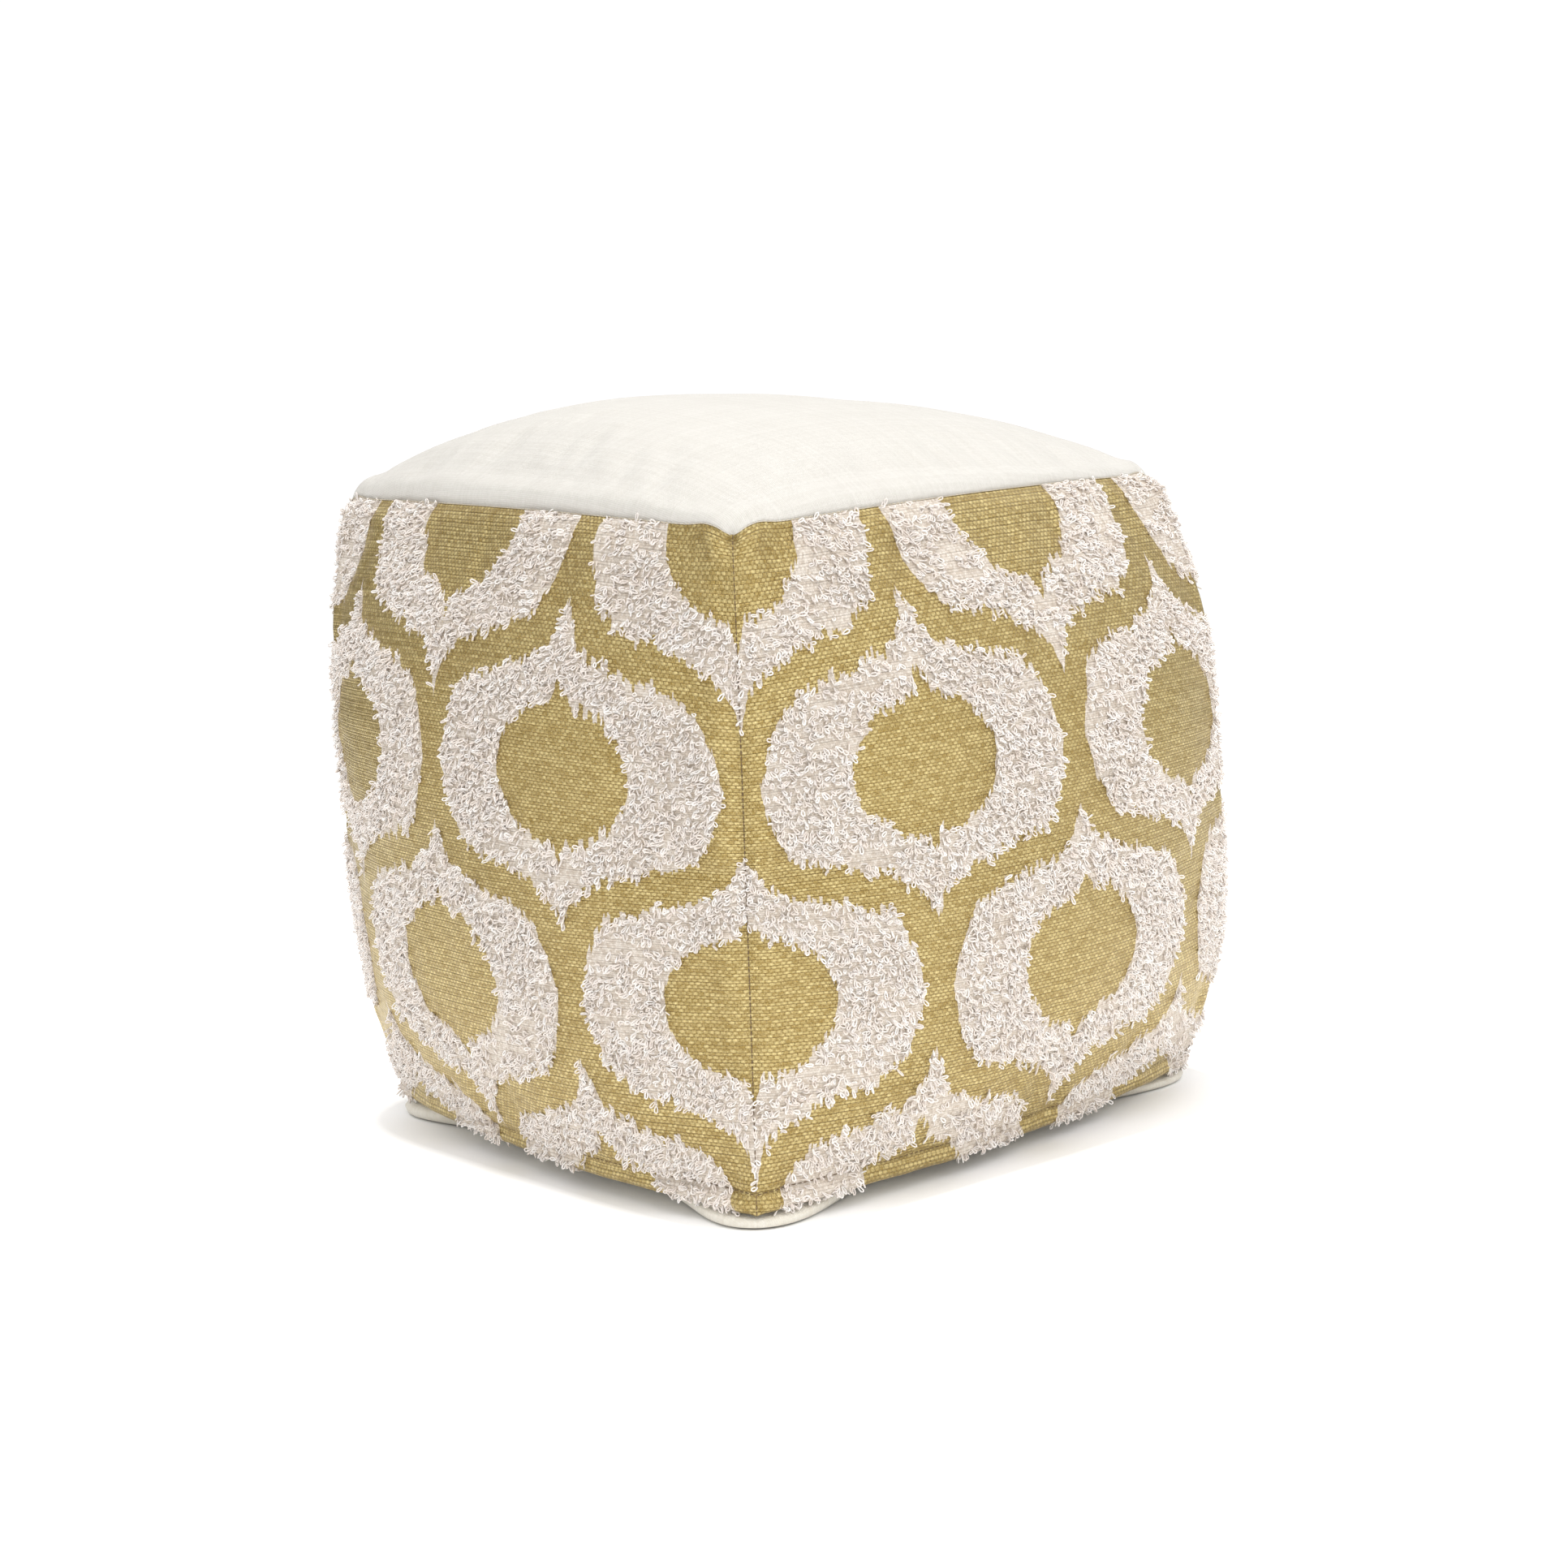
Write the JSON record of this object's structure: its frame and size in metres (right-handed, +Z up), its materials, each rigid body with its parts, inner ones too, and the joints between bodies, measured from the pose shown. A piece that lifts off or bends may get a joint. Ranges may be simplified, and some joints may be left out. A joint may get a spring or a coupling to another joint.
{
  "type": "square fabric pouf",
  "caption": "Low square floor seat: a domed, zipped fabric cover over a lining bag of foam beads, with four looped-pile side panels.",
  "frame": {"origin": "middle of the underside, where the flat of the base rests on the floor", "axes": "+Z up; the front side panel faces -Y and the right side panel faces +X; the zip runs along Y"},
  "size_m": [0.55, 0.55, 0.4892],
  "materials": {
    "plain_cotton": "matte plain weave",
    "looped_gold_cloth": "off-white loops on metallic gold weave",
    "thread": "matte thread",
    "zip_tape": "woven tape",
    "zip_teeth": "satin",
    "zip_metal": "satin",
    "lining": "non-woven",
    "beads": "loose foam beads"
  },
  "bodies": {
    "cover": {"top_panel": "plain_cotton", "side_panel_front": "looped_gold_cloth", "side_panel_right": "looped_gold_cloth", "side_panel_back": "looped_gold_cloth", "side_panel_left": "looped_gold_cloth", "base_panel_left": "plain_cotton", "base_panel_right": "plain_cotton", "corner_stitching": "thread", "top_stitching": "thread", "hem_stitching": "thread", "corner_overlock": "thread", "zip_tape_left": "zip_tape", "zip_tape_right": "zip_tape", "zip_teeth_left": "zip_teeth", "zip_teeth_right": "zip_teeth", "zip_top_stop": "zip_metal", "zip_bottom_stop": "zip_metal", "zip_stitching": "thread", "liner_top": "lining", "liner_sides": "lining", "liner_base": "lining", "bead_filling": "beads"},
    "slider": {"zip_slider": "zip_metal"},
    "pull": {"zip_pull": "zip_metal"}
  },
  "joints": [
    {"name": "zip_slide", "type": "slide", "parent": "cover", "child": "slider", "axis": [0, -1, 0], "range_m": [0, 0.3]},
    {"name": "pull_hinge", "type": "hinge", "parent": "slider", "child": "pull", "pos_m": [0, 0.15, 0.0022], "axis": [1, 0, 0], "range_deg": [0, 175]}
  ]
}
